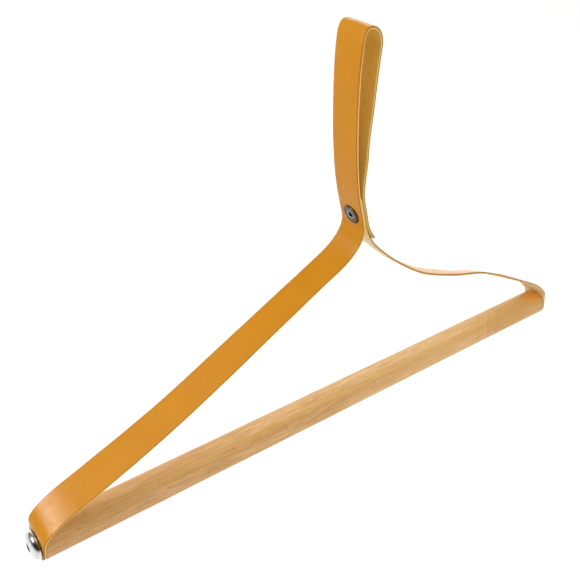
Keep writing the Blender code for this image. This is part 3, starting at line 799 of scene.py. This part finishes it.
class Look(Nodes):
    """One procedural material."""

    def __init__(self, name):
        self.material = bpy.data.materials.new(name)
        self.material.use_nodes = True
        super().__init__(self.material.node_tree)
        self.shader = self.tree.nodes["Principled BSDF"]

    def mix(self, factor, first, second):
        """A colour mix's result."""
        made = self.node("ShaderNodeMix", {"data_type": "RGBA", "blend_type": "MIX"}, i0=factor)
        for socket, value in ((made.inputs[6], first), (made.inputs[7], second)):
            self.put(socket, value if isinstance(value, bpy.types.NodeSocket) else (*value, 1.0))
        return made.outputs[2]

    def tinted(self, base, *rows):
        """A colour with tones laid over it, each as (tone, and what its step takes)."""
        for tone, *row in rows:
            base = self.mix(self.step(*row), base, tone)
        return base

    def noise(self, vector, scale, detail=3.0, roughness=0.55, distortion=0.0):
        """A noise value, about 0.5 on average."""
        return self.node("ShaderNodeTexNoise", Vector=vector, Scale=scale, Detail=detail,
                         Roughness=roughness, Distortion=distortion).outputs[0]

    def cells(self, vector, scale):
        """Distance to the nearest of scattered points."""
        return self.node("ShaderNodeTexVoronoi", Vector=vector, Scale=scale).outputs[0]

    def stretch(self, vector, scale):
        """A vector scaled unevenly."""
        return self.vector("MULTIPLY", vector, scale)

    def parts(self, vector):
        """The X, Y and Z of a vector."""
        return tuple(self.node("ShaderNodeSeparateXYZ", Vector=vector).outputs)

    def strap(self, layer):
        """A strap's own measures, in metres: "strap" along and across, "rim" inward and down."""
        return self.node("ShaderNodeUVMap", {"uv_map": layer}).outputs[0]

    def bump(self, height, distance, strength=1.0, normal=None):
        """A bump from a height in units of distance."""
        made = self.node("ShaderNodeBump", Height=height, Distance=distance, Strength=strength)
        if normal is not None:
            self.put(made.inputs["Normal"], normal)
        return made.outputs[0]

    def finish(self, **inputs):
        """Set the shader's sockets, named with underscores for spaces."""
        for key, value in inputs.items():
            name = key.replace("_", " ")
            if isinstance(value, tuple) and len(value) == 3:
                value = (*value, 1.0)
            self.put(self.shader.inputs[name], value)
        return self.material


def grain_look():
    """Smooth dyed grain side with fine pores and a dark line at the cut."""
    look = Look("leather_grain")
    along = look.strap("strap")
    inward, _, _ = look.parts(look.strap("rim"))
    broad = look.noise(along, 45.0, 3.0)
    cloud = look.noise(along, 260.0, 4.0)
    base = look.mix(look.step(broad, 0.35, 0.68), (0.55, 0.216, 0.003), (0.575, 0.23, 0.004))
    base = look.mix(look.step(cloud, 0.42, 0.72, 0.0, 0.25), base, (0.525, 0.202, 0.003))
    creases = look.cells(look.stretch(along, (1.0, 1.25, 1.0)), 2300.0)
    pores = look.noise(along, 5200.0, 2.0)
    base = look.mix(look.step(creases, 0.02, 0.3, 0.15, 0.0), base, (0.48, 0.17, 0.008))
    rim = look.step(look.plus(inward, look.times(look.noise(along, 900.0), 0.00012)), 0.0001, 0.0005, 1.0, 0.0)
    base = look.mix(look.times(rim, 0.85), base, (0.3, 0.14, 0.018))
    rough = look.plus(look.step(cloud, 0.3, 0.7, 0.33, 0.41), look.times(rim, 0.1))
    height = look.plus(look.step(creases, 0.0, 0.35), look.times(pores, 0.5))
    normal = look.bump(height, 0.00002, 0.5)
    normal = look.bump(look.noise(along, 120.0, 2.0), 0.00012, 0.3, normal)
    return look.finish(Base_Color=base, Roughness=rough, Normal=normal, IOR=1.45, Specular_IOR_Level=0.2)


def edge_look(name, low, high, soft, dyed_tone, dyed_depth, later=None):
    """Raw cut edge: a dark dyed line under the grain, then pale fibres."""
    look = Look(name)
    along, _, _ = look.parts(look.strap("strap"))
    _, depth, _ = look.parts(look.strap("rim"))
    spot = look.node("ShaderNodeCombineXYZ", i0=along, i1=look.times(depth, 3.0)).outputs[0]
    fibre = look.noise(look.stretch(spot, (1.0, 3.0, 1.0)), 2600.0, 4.0, 0.65)
    patch = look.noise(spot, 220.0, 2.0)
    base = look.mix(look.step(fibre, 0.35, 0.7), high, low)
    base = look.mix(look.step(patch, 0.4, 0.7, 0.0, 0.35), base, soft)
    if later is not None:
        start, stop, extra = later
        depth = look.minus(depth, look.step(along, start, stop, 0.0, extra))
    dyed = look.step(look.plus(depth, look.times(fibre, 0.00016)), dyed_depth, dyed_depth + 0.26 * MM, 1.0, 0.0)
    base = look.mix(dyed, base, dyed_tone)
    normal = look.bump(fibre, 0.00006, 0.6)
    return look.finish(Base_Color=base, Roughness=0.78, Normal=normal, IOR=1.45, Specular_IOR_Level=0.2)


def flesh_look(name, low, high, dark, nap_tone, painted_shade_tone=None):
    """Suede back: mottled nap with short brushed streaks, and optional painted shade over the strap's start."""
    look = Look(name)
    along = look.strap("strap")
    inward, _, _ = look.parts(look.strap("rim"))
    streak = look.noise(look.stretch(along, (0.35, 1.0, 1.0)), 900.0, 4.0, 0.65)
    mottle = look.noise(along, 330.0, 4.0, 0.6, 0.6)
    nap = look.noise(along, 2600.0, 3.0, 0.7)
    base = look.mix(look.step(mottle, 0.34, 0.68), low, high)
    base = look.tinted(
        base,
        (dark, streak, 0.48, 0.7, 0.0, 0.55),
        (nap_tone, nap, 0.38, 0.66, 0.0, 0.35),
        (nap_tone, inward, 0.0, 0.0005, 0.6, 0.0))
    # Painted shade: the flesh darkens over the strap's first 35 to 75 mm, where it lies over the rod's end
    if painted_shade_tone is not None:
        length, _, _ = look.parts(along)
        base = look.mix(look.step(length, 0.035, 0.075, 0.75, 0.0), base, painted_shade_tone)
    height = look.plus(nap, look.times(streak, 0.8))
    normal = look.bump(height, 0.00014, 0.8)
    return look.finish(Base_Color=base, Roughness=0.95, Normal=normal, Sheen_Weight=0.2,
                       Sheen_Roughness=0.5, Specular_IOR_Level=0.15)


def beech_look():
    """Sanded beech: straight streaks, short dark rays, a faint arch and slanted cross lines, with a painted shade
    band below the top and painted strap shade on the right end.
    """
    look = Look("beech")
    point = look.place()
    x, y, z = look.parts(point)
    low = look.minus(ROD_Z + ROD_RADIUS, z)

    def drawn(share, *how):
        return look.noise(look.stretch(point, (share, 1.0, 1.0)), *how)

    warp = drawn(0.25, 60.0, 3.0, 0.5)
    slow = drawn(0.12, 130.0, 2.0)
    fibre = drawn(0.06, 1500.0, 3.0, 0.65)
    streak = drawn(0.07, 620.0, 4.0, 0.65)
    base = look.mix(look.step(slow, 0.38, 0.62), (0.64, 0.372, 0.142), (0.745, 0.468, 0.215))
    base = look.tinted(
        base,
        ((0.53, 0.275, 0.095), streak, 0.46, 0.62, 0.0, 0.62),
        ((0.82, 0.56, 0.29), streak, 0.46, 0.32, 0.0, 0.48),
        ((0.54, 0.285, 0.1), fibre, 0.48, 0.64, 0.0, 0.46),
        ((0.86, 0.62, 0.35), fibre, 0.44, 0.32, 0.0, 0.35))
    bulge = look.math("POWER", look.minus(low, 0.013), 2.0)
    arch = look.plus(look.plus(x, look.times(bulge, 700.0)), look.times(warp, 0.014))
    arched = look.node("ShaderNodeTexNoise", {"noise_dimensions": "1D"}, W=arch, Scale=150.0, Detail=2.0).outputs[0]
    arch_seen = look.times(look.step(x, 0.05, 0.1), look.step(x, 0.115, 0.14, 0.45, 0.0))
    base = look.mix(look.times(look.step(arched, 0.46, 0.62), arch_seen), base, (0.54, 0.285, 0.1))
    slant = look.plus(look.minus(x, look.times(y, 1.137)), look.times(look.minus(z, ROD_Z), 0.337))
    slant = look.plus(slant, look.times(warp, 0.006))
    lines = 0.0
    for center, half, share in CROSS_LINES:
        away = look.math("ABSOLUTE", look.minus(slant, center))
        lines = look.plus(look.step(away, half * 0.3, half, share, 0.0), lines)
    lines = look.times(lines, look.step(warp, 0.34, 0.56, 0.6, 1.0))
    base = look.mix(lines, base, (0.46, 0.195, 0.07))
    base = look.tinted(
        base,
        ((0.47, 0.24, 0.082), x, -0.2, 0.04, 0.42, 0.0),
        ((0.88, 0.575, 0.265), x, 0.0, 0.12, 0.0, 0.32),
        ((0.54, 0.27, 0.055), x, 0.145, 0.22, 0.0, 0.5))
    # Painted shade: a darker, deeper-toned band all along the rod just below its top, standing in for the shading
    # under the top highlight
    painted_shade_band = look.times(look.times(look.step(low, 0.0004, 0.0016), look.step(low, 0.0034, 0.0056, 1.0, 0.0)),
                        look.step(slow, 0.36, 0.6, 0.15, 0.5))
    base = look.mix(painted_shade_band, base, (0.61, 0.335, 0.075))
    # Painted shade and painted orange bounce light from the strap, on the top of the rod's right end
    painted_strap_shade = look.times(look.step(x, 0.23, 0.248), look.step(low, 0.005, 0.0005, 0.0, 0.9))
    base = look.mix(painted_strap_shade, base, (0.76, 0.32, 0.03))
    rays = look.cells(look.stretch(point, (0.14, 1.0, 1.0)), 460.0)
    chance = drawn(0.2, 150.0, 2.0)
    flecks = look.times(look.step(rays, 0.05, 0.17, 1.0, 0.0), look.step(chance, 0.36, 0.46))
    base = look.mix(look.times(flecks, 0.72), base, (0.36, 0.15, 0.045))
    rough = look.step(fibre, 0.3, 0.7, 0.46, 0.58)
    height = look.minus(look.times(fibre, -0.6), look.times(flecks, 0.7))
    normal = look.bump(height, 0.00004, 0.45)
    return look.finish(Base_Color=base, Roughness=rough, Normal=normal, IOR=1.45, Specular_IOR_Level=0.32)


def metal_look(name, axis_point, axis, light, dark, rough_low, rough_high, lines, shaded_hollow, rings_shade_and_tone=(), foot=0.0):
    """Turned metal: fine rings about an axis, faint stains and handling marks, with painted shade in the key socket,
    at the head's foot and in toned rings.
    """
    look = Look(name)
    point = look.place()
    offset = look.vector("SUBTRACT", point, axis_point)
    along = look.vector("DOT_PRODUCT", offset, axis)
    squares = [look.math("POWER", value, 2.0) for value in (look.vector("LENGTH", offset), along)]
    radius = look.math("SQRT", look.math("ABSOLUTE", look.minus(*squares)))
    spot = look.node("ShaderNodeCombineXYZ", i0=radius, i1=look.times(along, 0.3)).outputs[0]
    rings = look.node("ShaderNodeTexNoise", {"noise_dimensions": "2D"}, Vector=spot, Scale=lines, Detail=3.0)
    rings = rings.outputs[0]
    stain = look.noise(point, 700.0, 4.0)
    base = look.mix(look.step(stain, 0.35, 0.7), light, dark)
    # Toned rings: painted shade over the turned grooves and round the rim, and a darker tone between them
    for start, stop, color in rings_shade_and_tone:
        band = look.times(look.step(radius, start, start + 0.2 * MM),
                          look.step(radius, stop, stop + 0.2 * MM, 1.0, 0.0))
        base = look.mix(band, base, color)
    reach, face = shaded_hollow
    away = look.math("ABSOLUTE", along)
    # Painted shade: the inside of the key socket is near black
    inside = look.times(look.step(radius, reach, reach + 0.1 * MM, 1.0, 0.0),
                        look.step(away, face - 0.28 * MM, face - 0.1 * MM, 1.0, 0.0))
    base = look.mix(inside, base, (0.012, 0.011, 0.01))
    # Painted shade: the head's lowest part, beside the leather, is darkened as the shadow gap under it
    under = look.step(away, foot, foot + 0.1 * MM, 1.0, 0.0)
    base = look.mix(under, base, (0.06, 0.03, 0.012))
    rough = look.plus(look.step(stain, 0.3, 0.75, rough_low, rough_high),
                      look.times(look.step(rings, 0.4, 0.7), 0.05))
    normal = look.bump(rings, 0.00001, 0.35)
    return look.finish(Base_Color=base, Metallic=1.0, Roughness=rough, Normal=normal)


# Pieces on their bodies

def dress():
    """Make every visible piece with its materials, put it on its body and hide the solid that it stands in for."""
    grain = grain_look()
    edge = edge_look("leather_edge", (0.76, 0.45, 0.11), (0.9, 0.58, 0.17), (0.86, 0.57, 0.2), (0.38, 0.18, 0.024),
                     0.56 * MM, (0.375, 0.4, 0.3 * MM))
    brown_edge = edge_look("leather_edge_brown", (0.66, 0.39, 0.1), (0.86, 0.6, 0.24), (0.7, 0.42, 0.12),
                           (0.43, 0.215, 0.036), 0.86 * MM)
    ochre_flesh = flesh_look("flesh_ochre", (0.76, 0.44, 0.05), (0.84, 0.53, 0.085), (0.62, 0.32, 0.025),
                             (0.9, 0.66, 0.18))
    # A paler copy of the ochre flesh: painted light for the short strap's strongly lit underside, with painted shade
    # at its start near the rod
    lit_flesh_copy = flesh_look("flesh_painted_light", (0.95, 0.83, 0.54), (0.98, 0.87, 0.6), (0.8, 0.63, 0.33),
                             (0.98, 0.9, 0.64), (0.8, 0.54, 0.19))
    beech = beech_look()
    rod_axis = Vector((1, 0, 0))
    end_face = ROD_LENGTH / 2 + SEAT + STRAP_THICKNESS - END_HEAD_SINK + END_HEAD_HEIGHT
    neck_face = STACK / 2 - NECK_HEAD_SINK + NECK_HEAD_HEIGHT
    # The steel's last figure sets how far up the head the painted shade at its foot reaches
    steel = metal_look("polished_steel", ROD_MIDDLE, rod_axis, (0.68, 0.66, 0.63), (0.57, 0.56, 0.53), 0.12, 0.2,
                       5200.0, (END_SOCKET / sqrt(3) + 0.1 * MM, end_face), (),
                       end_face - END_HEAD_HEIGHT + 0.72 * MM)
    # The gunmetal's rings paint shade over its grooves and rim
    gunmetal = metal_look("gunmetal", BOLT_POINT, NECK_AXIS, (0.29, 0.265, 0.27), (0.23, 0.212, 0.216), 0.28, 0.4,
                          6800.0, (NECK_SOCKET / sqrt(3), neck_face),
                          ((3.05 * MM, 3.75 * MM, (0.05, 0.042, 0.042)), (3.8 * MM, 4.8 * MM, (0.115, 0.098, 0.092)),
                           (4.8 * MM, 6.5 * MM, (0.1, 0.07, 0.05))))
    brass = metal_look("insert_brass", ROD_MIDDLE, rod_axis, (0.78, 0.58, 0.26), (0.6, 0.42, 0.17), 0.28, 0.42,
                       4200.0, (0.0, 0.0))
    outer_seat = SEAT + STRAP_THICKNESS
    left_head, right_head = [(Vector((x, 0, ROD_Z)), rod_axis, END_HEAD_RADIUS, END_HEAD_SINK)
                             for x in (LEFT_X - outer_seat, RIGHT_X + outer_seat)]
    bolt_head, nut_head = [(BOLT_POINT + NECK_AXIS * side * STACK / 2, NECK_AXIS, NECK_HEAD_RADIUS, NECK_HEAD_SINK)
                           for side in (-1, 1)]
    front = front_samples()
    short_path = short_strap_path(front)
    long_path = sprung(long_strap_path(front, short_path), 2.2 * MM, 0.6 * MM)
    short_path = sprung(short_path, 1.2 * MM, 0.0)
    still = Matrix.Identity(4)
    long_mesh = strap_mesh("long_strap_leather", long_path, STRAP_TAIL_CORNER, STRAP_TOP_CORNER, 11,
                           [left_head, bolt_head, nut_head])
    short_mesh = strap_mesh("short_strap_leather", short_path, STRAP_TAIL_CORNER, STRAP_TOP_CORNER, 23,
                            [right_head])
    long_item = place_piece("long_strap_leather", long_mesh, still, [grain, edge, ochre_flesh])
    short_item = place_piece("short_strap_leather", short_mesh, still, [grain, brown_edge, lit_flesh_copy])
    rod_item = place_piece("rod_wood", rod_mesh(), axis_matrix(ROD_MIDDLE, rod_axis), [beech])
    made = [
        (long_item, "straps", "long_strap", "leather"),
        (short_item, "straps", "short_strap", "leather"),
        (rod_item, "rod_unit", "rod", "beech"),
        (end_screw("left_screw_steel", LEFT_X, -1, steel), "rod_unit", "end_screw_left", "polished_steel"),
        (end_screw("right_screw_steel", RIGHT_X, 1, steel), "rod_unit", "end_screw_right", "polished_steel"),
        (insert_piece("left_insert_brass", LEFT_X, -1, brass), "rod_unit", "insert_left", "brass"),
        (insert_piece("right_insert_brass", RIGHT_X, 1, brass), "rod_unit", "insert_right", "brass"),
        (neck_piece("neck_bolt_dark", -1, gunmetal), "straps", "neck_bolt", "gunmetal"),
        (neck_piece("neck_nut_dark", 1, gunmetal), "straps", "neck_nut", "gunmetal"),
    ]
    for item, end in ((long_item, -1), (short_item, 1)):
        strap_hole(item, ROD_MIDDLE + rod_axis * end * ROD_LENGTH / 2, rod_axis, END_SHANK_RADIUS + HOLE_CLEARANCE)
        strap_hole(item, BOLT_POINT, NECK_AXIS, NECK_BARREL_RADIUS + HOLE_CLEARANCE)
    for item, body, node, slot in made:
        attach(item, body)
        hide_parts(node)
    shade(rod_item, 40)


# Studio

FLOOR_DROP = 0.55  # floor below the loop's top
FLOOR_SIZE = 14.0
FLOOR_GLOW = 0.62
FLOOR_MATT = 0.4  # share of the glow that matt faces see
FLOOR_AXIS = (0.66, 0.75, 0)  # along which the glow in reflections changes: from, to, level before, after
FLOOR_LEVELS = ((-1.4, -0.6, 0.08, 0.95), (0.45, 1.1, 1.0, 3.4))
WORLD_MATT = 0.6  # brightness of the surroundings to matt faces
REFLECTED = (((-0.62, -0.76, 0.05), 0.45, 0.72, 0.28, 0.03),  # axis, low, high, level below and above
             ((0.62, 0.72, 0.25), 0.55, 0.88, 1.0, 6.0))


def floor():
    """A pale floor that reads white to the camera and keeps the soft shadow."""
    work = bmesh.new()
    bmesh.ops.create_grid(work, x_segments=1, y_segments=1, size=FLOOR_SIZE / 2)
    mesh = to_mesh(work, "floor")
    material = bpy.data.materials.new("pale_floor")
    material.use_nodes = True
    nodes = Nodes(material.node_tree)
    nodes.tree.nodes.clear()
    depth = nodes.vector("DOT_PRODUCT", nodes.place(), Vector(FLOOR_AXIS).normalized())
    level = nodes.times(*[nodes.step(depth, *row) for row in FLOOR_LEVELS])
    path = nodes.node("ShaderNodeLightPath").outputs
    seen = nodes.math("MULTIPLY_ADD", path["Is Glossy Ray"], level, path["Is Camera Ray"])
    lit = nodes.math("MULTIPLY_ADD", path["Is Diffuse Ray"], FLOOR_MATT, seen)
    diffuse = nodes.node("ShaderNodeBsdfDiffuse", Color=(0.62, 0.62, 0.62, 1.0))
    glow = nodes.node("ShaderNodeEmission", Color=(1.0, 1.0, 1.0, 1.0), Strength=nodes.times(lit, FLOOR_GLOW))
    both = nodes.node("ShaderNodeAddShader", i0=diffuse.outputs[0], i1=glow.outputs[0])
    nodes.node("ShaderNodeOutputMaterial", Surface=both.outputs[0])
    mesh.materials.append(material)
    item = add_object("floor", mesh)
    item.location = (0, 0, -FLOOR_DROP)


def world():
    """Soft surroundings: white to the camera, even to matt faces, graded in reflections."""
    made = bpy.data.worlds.new("studio")
    made.use_nodes = True
    nodes = Nodes(made.node_tree)
    nodes.tree.nodes.clear()
    direction = nodes.node("ShaderNodeTexCoord").outputs["Generated"]
    level = nodes.times(*[nodes.step(nodes.vector("DOT_PRODUCT", direction, Vector(axis).normalized()), *row)
                          for axis, *row in REFLECTED])
    matt, gloss, white = [nodes.node("ShaderNodeBackground", Color=(*color, 1.0), Strength=strength).outputs[0]
                          for color, strength in (((1.0, 0.985, 0.96), WORLD_MATT), ((1.0, 0.99, 0.97), level),
                                                  ((1.0, 1.0, 1.0), 1.0))]
    path = nodes.node("ShaderNodeLightPath").outputs
    reflected = nodes.node("ShaderNodeMixShader", i0=path["Is Glossy Ray"], i1=matt, i2=gloss)
    blend = nodes.node("ShaderNodeMixShader", i0=path["Is Camera Ray"], i1=reflected.outputs[0], i2=white)
    nodes.node("ShaderNodeOutputWorld", Surface=blend.outputs[0])
    bpy.context.scene.world = made


def lamp(name, place, target, size, power, matt=True, gloss=True):
    """A square softbox, seen by matt faces, by reflections or by both."""
    data = bpy.data.lights.new(name, "AREA")
    data.size = size
    data.energy = power
    item = add_object(name, data)
    item.location = place
    item.visible_diffuse = matt
    item.visible_glossy = gloss
    item.rotation_euler = (Vector(target) - Vector(place)).to_track_quat("-Z", "Y").to_euler()


def camera():
    """The photograph's viewpoint, with the head tilted as the hanger hung."""
    data = bpy.data.cameras.new("photo_camera")
    data.lens = CAMERA_LENS
    data.sensor_width = CAMERA_SENSOR
    data.clip_start = 0.01
    data.clip_end = 60
    azimuth, elevation = radians(CAMERA_AZIMUTH), radians(CAMERA_ELEVATION)
    forward = Vector((cos(azimuth) * cos(elevation), sin(azimuth) * cos(elevation), -sin(elevation)))
    level_right = Vector((sin(azimuth), -cos(azimuth), 0))
    level_up = level_right.cross(forward)
    roll = radians(CAMERA_ROLL)
    right = level_right * cos(roll) + level_up * sin(roll)
    up = right.cross(forward)
    turn = Matrix((right, up, -forward)).transposed().to_4x4()
    item = add_object("photo_camera", data)
    item.matrix_world = Matrix.Translation(CAMERA_PLACE) @ turn
    bpy.context.scene.camera = item


bpy.context.scene.view_settings.view_transform = "Standard"
camera()
dress()
floor()
world()
lamp("left_softbox", (-0.94, 0.2, 0.37), (-0.19, 0, -0.25), 0.3, 12.5, matt=False)
lamp("left_fill", (-0.7, 0.3, 0.35), (-0.08, 0, -0.15), 0.4, 4.3, gloss=False)
lamp("front_softbox", (0.15, -1.3, 0.25), (0.03, 0, -0.2), 1.2, 6.2, gloss=False)
lamp("top_softbox", (0.1, -0.2, 1.3), (0.03, 0, -0.2), 0.9, 2.0)
lamp("back_softbox", (0.9, 0.95, 0.75), (0.05, 0, -0.1), 0.5, 3.0)
